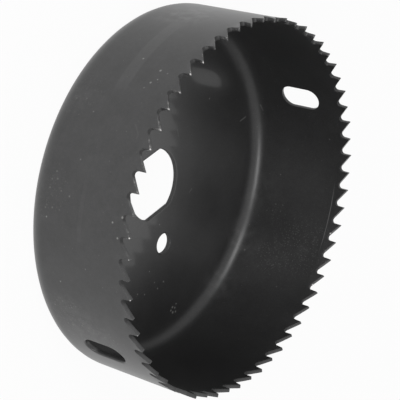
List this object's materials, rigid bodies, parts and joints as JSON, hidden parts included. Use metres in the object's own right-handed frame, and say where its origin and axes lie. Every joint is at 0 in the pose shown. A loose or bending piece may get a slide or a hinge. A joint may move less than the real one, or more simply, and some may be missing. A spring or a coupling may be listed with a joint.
{
  "type": "hole saw",
  "caption": "Round cup-shaped hole saw of black-coated sheet steel: toothed rim, chip slots in the wall, an arbor hole with two flats and a drive-pin hole in the closed end.",
  "frame": {"origin": "centre of the closed end's outer face, on the cutting axis", "axes": "+Z along the cutting axis, from the closed end to the tooth tips; X parallel to the two flats of the arbor hole; the drive-pin hole is on -Y"},
  "size_m": [0.1148, 0.1144, 0.0381],
  "materials": {
    "black_coated_steel": "satin"
  },
  "bodies": {
    "root": {"saw_cup": "black_coated_steel"}
  },
  "joints": []
}
